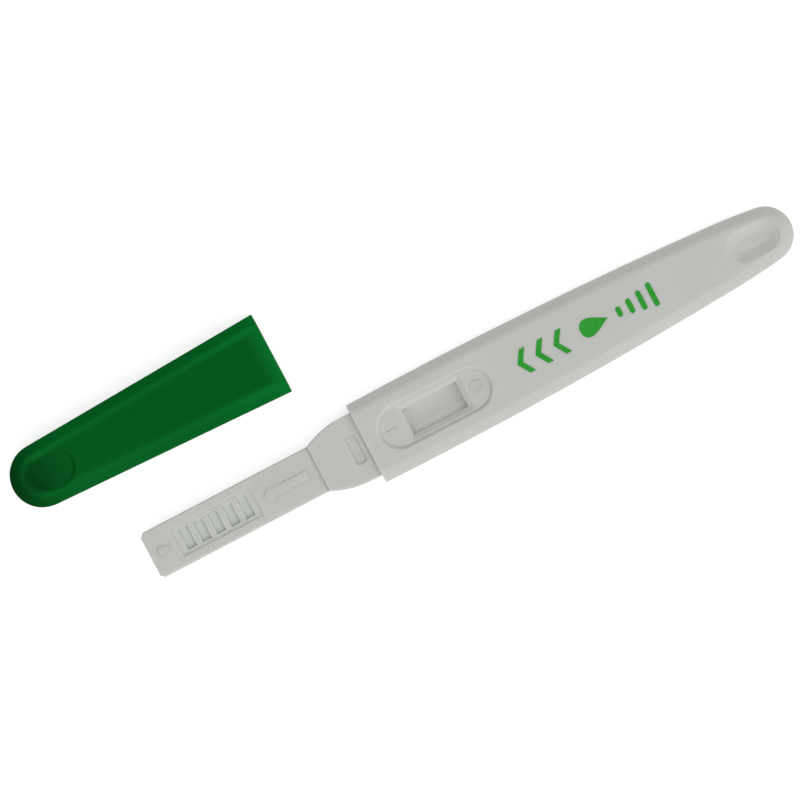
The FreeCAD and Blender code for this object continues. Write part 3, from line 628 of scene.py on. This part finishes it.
def membrane_skin(settings):
    """A smooth membrane with painted light round its edge, in place of light that comes through
    the frame's wall.
    """
    material = fibre_material(
        "membrane_skin", settings.membrane_colour,
        fibre_size=0.09 * MM, fibre_depth=0.002 * MM, gap=0.97, sheen=0.05)
    tree = material.node_tree
    spot = node(tree, "TexCoord", (-7, 2)).outputs["Object"]
    parts = node(tree, "SeparateXYZ", (-6, 2))
    tree.links.new(spot, parts.inputs["Vector"])
    along = math_node(tree, "ABSOLUTE", (-5, 3), parts.outputs["X"])
    end = settings.opening_length / 2
    side = settings.opening_width / 2
    reach = settings.edge_glow_width
    # Painted light along the edges of the opening, widest on the side under the lamp.
    lamp_side = fading(
        tree, (-4, 1), parts.outputs["Y"], -side, -side + settings.glow_width, 1.0, 0.0)
    far_side = fading(
        tree, (-4, 2), parts.outputs["Y"], side - reach, side, 0.0, settings.edge_glow)
    both_ends = fading(tree, (-4, 3), along, end - reach, end, 0.0, settings.edge_glow)
    edges = math_node(tree, "MAXIMUM", (-3, 3), both_ends, far_side)
    mask = math_node(tree, "MAXIMUM", (-2, 2), edges, lamp_side)
    fibre = next(item for item in tree.nodes if item.type == "GROUP")
    shade = colour_mix(
        tree, (-1, 1), mask, fibre.outputs["Colour"], settings.glow_colour)
    tree.links.new(shade, tree.nodes["Principled BSDF"].inputs["Base Color"])
    return material


def print_ink(settings):
    """Screen printed ink: even, a little glossy, slightly thin in places."""
    material, tree, shader = new_material("print_ink")
    patches_per_metre = 1800.0
    thinnest = 0.3
    show_through = 0.08
    spot = node(tree, "TexCoord", (-5, 0)).outputs["Object"]
    thin = noise_node(tree, (-4, 0), spot, patches_per_metre, 2.0)
    spread = node(tree, "MapRange", (-3, 0), clamp=True)
    spread.inputs["From Min"].default_value = 0.35
    spread.inputs["From Max"].default_value = 0.75
    spread.inputs["To Max"].default_value = thinnest
    tree.links.new(thin, spread.inputs["Value"])
    lighter = [part + (1.0 - part) * show_through for part in settings.colour]
    ink = colour_mix(tree, (-2, 0), spread.outputs["Result"], settings.colour, lighter)
    tree.links.new(ink, shader.inputs["Base Color"])
    shader.inputs["Roughness"].default_value = 0.38
    shader.inputs["Specular IOR Level"].default_value = 0.15
    return material


# Mesh helpers

def surface_under(node_name, x, y):
    """Height of a construction node's top surface at a place seen from above."""
    shape = BVHTree.FromObject(
        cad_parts[node_name], bpy.context.evaluated_depsgraph_get())
    hit = shape.ray_cast(Vector((x, y, 1.0)), Vector((0.0, 0.0, -1.0)))
    if hit[0] is None:
        raise RuntimeError("no surface of %s at %.4f, %.4f" % (node_name, x, y))
    return hit[0].z


def finished(name, form, material):
    """Puts a finished form into the scene as a piece of the one body."""
    mesh = bpy.data.meshes.new(name)
    bmesh.ops.recalc_face_normals(form, faces=form.faces)
    form.to_mesh(mesh)
    form.free()
    mesh.materials.append(material)
    piece = bpy.data.objects.new(name, mesh)
    bpy.context.scene.collection.objects.link(piece)
    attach(piece, "root")
    return piece


def plate(corners):
    """A flat face through a few corners."""
    form = bmesh.new()
    form.faces.new([form.verts.new((x, y, 0.0)) for x, y in corners])
    return form


def disc(radius, segments):
    form = bmesh.new()
    bmesh.ops.create_circle(form, cap_ends=True, segments=segments, radius=radius)
    return form


def bar(across, up):
    """A flat bar with half round ends."""
    form = plate([(-across / 2, -up / 2), (across / 2, -up / 2),
                  (across / 2, up / 2), (-across / 2, up / 2)])
    bmesh.ops.bevel(form, geom=form.verts[:], offset=min(across, up) * BAR_ROUNDING,
                    offset_type="OFFSET", segments=6, profile=0.5, affect="VERTICES",
                    material=-1, clamp_overlap=True)
    return form


def ring(radius, band):
    form = disc(radius, segments=40)
    inner = form.faces[:]
    bmesh.ops.inset_region(
        form, faces=inner, thickness=band, use_boundary=True, use_even_offset=True)
    bmesh.ops.delete(form, geom=inner, context="FACES_ONLY")
    return form


def drop(length, width):
    """A flat falling drop whose round end points towards the tip of the stick."""
    form = disc(radius=0.5, segments=36)
    for vert in form.verts:
        belly = max(0.0, 0.5 - vert.co.x) ** DROP_SWELL
        vert.co.y *= belly * width * DROP_FULLNESS
        vert.co.x *= length
    return form


def chevron(height, stroke):
    """A flat chevron whose point is at the origin and looks towards the tip."""
    half = height / 2
    back = half * CHEVRON_SLOPE
    return plate([(0.0, 0.0), (back, -half), (back + stroke, -half), (stroke, 0.0),
                  (back + stroke, half), (back, half)])


def arrow(length, head, head_half, shaft_half):
    """A flat arrow with its point at the origin, which looks towards the tip."""
    return plate([(0.0, 0.0), (head, -head_half), (head, -shaft_half),
                  (length, -shaft_half), (length, shaft_half), (head, shaft_half),
                  (head, head_half)])


def raised(form, place, bottom, height, soft):
    """Gives a flat form its place and its height, with softened top edges."""
    bmesh.ops.translate(form, verts=form.verts, vec=(place, 0.0, bottom))
    lifted = bmesh.ops.extrude_face_region(form, geom=form.faces[:], use_keep_orig=True)
    top = [item for item in lifted["geom"] if isinstance(item, bmesh.types.BMVert)]
    bmesh.ops.translate(form, verts=top, vec=(0.0, 0.0, height))
    if soft:
        tops = set(top)
        form.normal_update()
        rim = [edge for edge in form.edges
               if all(vert in tops for vert in edge.verts)
               and any(abs(face.normal.z) < 0.5 for face in edge.link_faces)]
        bmesh.ops.bevel(form, geom=rim, offset=soft, offset_type="OFFSET", segments=3,
                        profile=0.5, affect="EDGES", material=-1, clamp_overlap=True)
    return form


def merged_copy(node_name):
    """The form of a construction node with its loose triangles joined."""
    form = bmesh.new()
    form.from_mesh(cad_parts[node_name].data)
    bmesh.ops.remove_doubles(form, verts=form.verts, dist=MERGE_DISTANCE)
    bmesh.ops.dissolve_limit(
        form, angle_limit=math.radians(1.0), verts=form.verts, edges=form.edges)
    return form


def cut_across(form, axis, low, high, pitch):
    """Cuts a form at an even pitch along an axis, so that its faces can bend."""
    count = max(2, round((high - low) / pitch))
    normal = Vector((0.0, 0.0, 0.0))
    normal[axis] = 1.0
    for step in range(1, count):
        place = Vector((0.0, 0.0, 0.0))
        place[axis] = low + (high - low) * step / count
        geometry = form.verts[:] + form.edges[:] + form.faces[:]
        bmesh.ops.bisect_plane(
            form, geom=geometry, dist=CUT_TOLERANCE, plane_co=place, plane_no=normal)


def fibre_pad(name, node_name, material, settings, relief, patch):
    """A pad cut from fibre stock: soft cut edges and a face that swells and sinks."""
    low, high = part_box(node_name)
    form = merged_copy(node_name)
    bmesh.ops.bevel(form, geom=form.edges[:], offset=settings.soft_edge,
                    offset_type="OFFSET", segments=2, profile=0.5, affect="EDGES",
                    material=-1, clamp_overlap=True)
    cut_across(form, 0, low.x, high.x, settings.cut_pitch)
    cut_across(form, 1, low.y, high.y, settings.cut_pitch)
    form.normal_update()
    for vert in form.verts:
        swell = 0.5 + 0.5 * noise.noise(vert.co / patch)
        vert.co -= vert.normal * relief * swell
    for face in form.faces:
        face.smooth = True
    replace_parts(finished(name, form, material), node_name)


def layer(name, node_name, material, edge):
    """A thin layer of the strip with softened cut edges."""
    form = merged_copy(node_name)
    bmesh.ops.bevel(form, geom=form.edges[:], offset=edge, offset_type="OFFSET",
                    segments=2, profile=0.5, affect="EDGES", material=-1,
                    clamp_overlap=True)
    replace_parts(finished(name, form, material), node_name)


class MIDSTREAM_OT_housing(bpy.types.Operator):
    """Finishes the two shells of the housing as satin white moulded plastic"""
    bl_idname = "midstream.housing"
    bl_label = "Finish Housing"

    def execute(self, context):
        settings = context.scene.midstream_housing
        plastic = housing_plastic("housing_plastic", settings, settings.scatter)
        for node_name in ("upper_shell", "lower_shell"):
            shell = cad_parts[node_name]
            for slot in shell.material_slots:
                slot.material = plastic
        return {"FINISHED"}


class MIDSTREAM_OT_cap(bpy.types.Operator):
    """Finishes the cap as green plastic with painted light at its lip, a painted highlight
    along its bevel and painted shade at its closed end
    """
    bl_idname = "midstream.cap"
    bl_label = "Finish Cap"

    def execute(self, context):
        plastic = cap_plastic(context.scene.midstream_cap)
        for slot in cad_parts["cap"].material_slots:
            slot.material = plastic
        return {"FINISHED"}


class MIDSTREAM_OT_strip(bpy.types.Operator):
    """Makes the wick, the pads, the membrane and the card of the test strip"""
    bl_idname = "midstream.strip"
    bl_label = "Make Test Strip"

    def execute(self, context):
        settings = context.scene.midstream_strip
        wick = fibre_material(
            "wick_fibre", settings.wick_colour,
            fibre_size=0.22 * MM, fibre_depth=0.02 * MM, gap=0.93)
        fibre_pad("wick", "sample_wick", wick, settings,
                  relief=settings.wick_relief, patch=1.1 * MM)
        glass = fibre_material(
            "glass_fibre", settings.glass_colour,
            fibre_size=0.12 * MM, fibre_depth=0.015 * MM, gap=0.86)
        fibre_pad("glass_pad", "conjugate_pad", glass, settings,
                  relief=settings.pad_relief, patch=0.8 * MM)
        paper = fibre_material(
            "cotton_paper", settings.paper_colour,
            fibre_size=0.3 * MM, fibre_depth=0.02 * MM, gap=0.92)
        fibre_pad("blotting_pad", "absorbent_pad", paper, settings,
                  relief=settings.pad_relief, patch=1.2 * MM)
        layer("test_membrane", "membrane", membrane_skin(settings),
              edge=0.02 * MM)
        layer("strip_card", "backing_card", card_plastic(settings),
              edge=0.04 * MM)
        return {"FINISHED"}


class MIDSTREAM_OT_marks(bpy.types.Operator):
    """Moulds the arrow, the drop, the bar and the ring onto the upper shell"""
    bl_idname = "midstream.marks"
    bl_label = "Mould Marks"

    def execute(self, context):
        settings = context.scene.midstream_marks
        housing = context.scene.midstream_housing
        plastic = housing_plastic("mark_plastic", housing, settings.relief)
        length = settings.arrow_end - settings.arrow_point
        marks = (
            ("arrow_mark", settings.arrow_point,
             arrow(length, settings.arrow_head, settings.arrow_width / 2,
                   settings.shaft_width / 2)),
            ("drop_mark", settings.drop_place,
             drop(settings.drop_length, settings.drop_width)),
            ("bar_mark", settings.bar_place, bar(settings.bar_length, settings.line)),
            ("ring_mark", settings.ring_place, ring(settings.ring_radius, settings.line)),
        )
        sunk = settings.relief / 2
        soft = settings.relief * MARK_SOFTNESS
        for name, place, flat in marks:
            level = surface_under("upper_shell", place + PROBE_STEP, 0.0)
            form = raised(flat, place, level - sunk, settings.relief + sunk, soft)
            piece = finished(name, form, plastic)
            for face in piece.data.polygons:
                face.use_smooth = True
        return {"FINISHED"}


class MIDSTREAM_OT_print(bpy.types.Operator):
    """Prints plain chevrons, a drop and bars on the handle in green ink"""
    bl_idname = "midstream.print"
    bl_label = "Print Handle"

    def execute(self, context):
        settings = context.scene.midstream_print
        ink = print_ink(settings)
        height = settings.height
        start = settings.start
        pitch = height * CHEVRON_PITCH
        middle = start + height * DROP_AFTER
        shapes = [("chevron_%d" % (index + 1), start + index * pitch,
                   chevron(height, settings.stroke * CHEVRON_STROKE))
                  for index in range(CHEVRON_COUNT)]
        shapes.append(("drop", middle, drop(height * DROP_LENGTH, height * DROP_WIDTH)))
        for index, share in enumerate(BAR_HEIGHTS):
            place = middle + height * (BARS_AFTER + BAR_PITCH * index)
            shapes.append(("bar_%d" % (index + 1), place,
                           bar(settings.stroke, height * share)))
        for name, place, flat in shapes:
            level = surface_under("upper_shell", place, 0.0)
            form = raised(flat, place, level - settings.ink, 2 * settings.ink, 0.0)
            finished("print_" + name, form, ink)
        return {"FINISHED"}


class MIDSTREAM_OT_stage(bpy.types.Operator):
    """Sets up the pale floor, the soft studio light and the camera above the stick"""
    bl_idname = "midstream.stage"
    bl_label = "Set Up Stage"

    def execute(self, context):
        settings = context.scene.midstream_stage
        self.floor(settings)
        self.sky(context.scene, settings)
        self.key_lamp(context.scene, settings)
        self.camera(context.scene, settings)
        context.scene.view_settings.view_transform = "Standard"
        return {"FINISHED"}

    def floor(self, settings):
        form = bmesh.new()
        bmesh.ops.create_grid(form, x_segments=1, y_segments=1, size=2.0)
        bmesh.ops.translate(form, verts=form.verts, vec=(0.0, 0.0, -0.01 * MM))
        mesh = bpy.data.meshes.new("floor")
        form.to_mesh(mesh)
        form.free()
        material, tree, shader = new_material("pale_floor")
        shader.inputs["Base Color"].default_value = tuple(settings.floor_colour) + (1.0,)
        shader.inputs["Roughness"].default_value = 0.9
        shader.inputs["Specular IOR Level"].default_value = 0.0
        seen = seen_directly(tree)
        lift = node(tree, "Emission", (1, -1))
        glow = math_node(tree, "MULTIPLY", (0, -1), seen, settings.floor_lift)
        tree.links.new(glow, lift.inputs["Strength"])
        both = node(tree, "AddShader", (2, 0))
        tree.links.new(shader.outputs["BSDF"], both.inputs[0])
        tree.links.new(lift.outputs["Emission"], both.inputs[1])
        surface = tree.nodes["Material Output"]
        surface.location = (3 * NODE_COLUMN, 0)
        tree.links.new(both.outputs["Shader"], surface.inputs["Surface"])
        mesh.materials.append(material)
        floor = bpy.data.objects.new("floor", mesh)
        bpy.context.scene.collection.objects.link(floor)

    def sky(self, scene, settings):
        world = bpy.data.worlds.new("studio")
        world.use_nodes = True
        tree = world.node_tree
        back = tree.nodes["Background"]
        back.inputs["Color"].default_value = (1.0, 1.0, 1.0, 1.0)
        seen = seen_directly(tree)
        strength = node(tree, "MapRange", (-1, 0))
        strength.inputs["To Min"].default_value = settings.sky_strength
        strength.inputs["To Max"].default_value = 1.0
        tree.links.new(seen, strength.inputs["Value"])
        tree.links.new(strength.outputs["Result"], back.inputs["Strength"])
        scene.world = world

    def key_lamp(self, scene, settings):
        """The one lamp, whose wide face gives the soft shade of the picture."""
        lamp = bpy.data.lights.new("key_lamp", "AREA")
        lamp.shape = "DISK"
        lamp.size = settings.key_size
        lamp.energy = settings.key_power
        direction = Vector(settings.key_direction)
        holder = bpy.data.objects.new("key_lamp", lamp)
        holder.location = direction.normalized() * settings.key_distance
        holder.rotation_euler = direction.to_track_quat("Z", "Y").to_euler()
        scene.collection.objects.link(holder)

    def camera(self, scene, settings):
        """Looks straight down through a long lens, as the picture was taken."""
        lens = bpy.data.cameras.new("camera")
        lens.sensor_width = 36.0
        lens.lens = lens.sensor_width * settings.distance / settings.span
        lens.clip_start = 0.01
        lens.clip_end = 10.0
        holder = bpy.data.objects.new("camera", lens)
        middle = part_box("lower_shell")[1].z
        holder.location = (*settings.camera_place, middle + settings.distance)
        holder.rotation_euler = (0.0, 0.0, -settings.turn)
        scene.collection.objects.link(holder)
        scene.camera = holder


def seen_directly(tree):
    """One where the camera sees a surface itself or its mirror image, zero elsewhere."""
    path = node(tree, "LightPath", (-3, -1))
    direct = math_node(tree, "MAXIMUM", (-2, -1), path.outputs["Is Camera Ray"],
                       path.outputs["Is Glossy Ray"])
    return math_node(tree, "MAXIMUM", (-1, -1), direct, path.outputs["Is Transmission Ray"])


class MIDSTREAM_PT_panel(bpy.types.Panel):
    """Lists the steps of the finish and their sizes and colours"""
    bl_idname = "MIDSTREAM_PT_panel"
    bl_label = "Midstream Test"
    bl_space_type = "VIEW_3D"
    bl_region_type = "UI"
    bl_category = "Midstream Test"

    def draw(self, context):
        for operator, name, settings in STEPS:
            box = self.layout.box()
            box.operator(operator.bl_idname)
            for field in settings.__annotations__:
                box.prop(getattr(context.scene, name), field)


# Each step of the finish: its operator, and the name and kind of its settings
STEPS = (
    (MIDSTREAM_OT_housing, "midstream_housing", HousingSettings),
    (MIDSTREAM_OT_cap, "midstream_cap", CapSettings),
    (MIDSTREAM_OT_strip, "midstream_strip", StripSettings),
    (MIDSTREAM_OT_marks, "midstream_marks", MarkSettings),
    (MIDSTREAM_OT_print, "midstream_print", PrintSettings),
    (MIDSTREAM_OT_stage, "midstream_stage", StageSettings),
)


def register():
    for operator, name, settings in STEPS:
        bpy.utils.register_class(settings)
        setattr(bpy.types.Scene, name, bpy.props.PointerProperty(type=settings))
        bpy.utils.register_class(operator)
    bpy.utils.register_class(MIDSTREAM_PT_panel)


def unregister():
    bpy.utils.unregister_class(MIDSTREAM_PT_panel)
    for operator, name, settings in reversed(STEPS):
        bpy.utils.unregister_class(operator)
        delattr(bpy.types.Scene, name)
        bpy.utils.unregister_class(settings)


def main():
    register()
    bpy.ops.midstream.housing()
    bpy.ops.midstream.cap()
    bpy.ops.midstream.strip()
    bpy.ops.midstream.marks()
    bpy.ops.midstream.print()
    bpy.ops.midstream.stage()


if __name__ == "__main__":
    main()
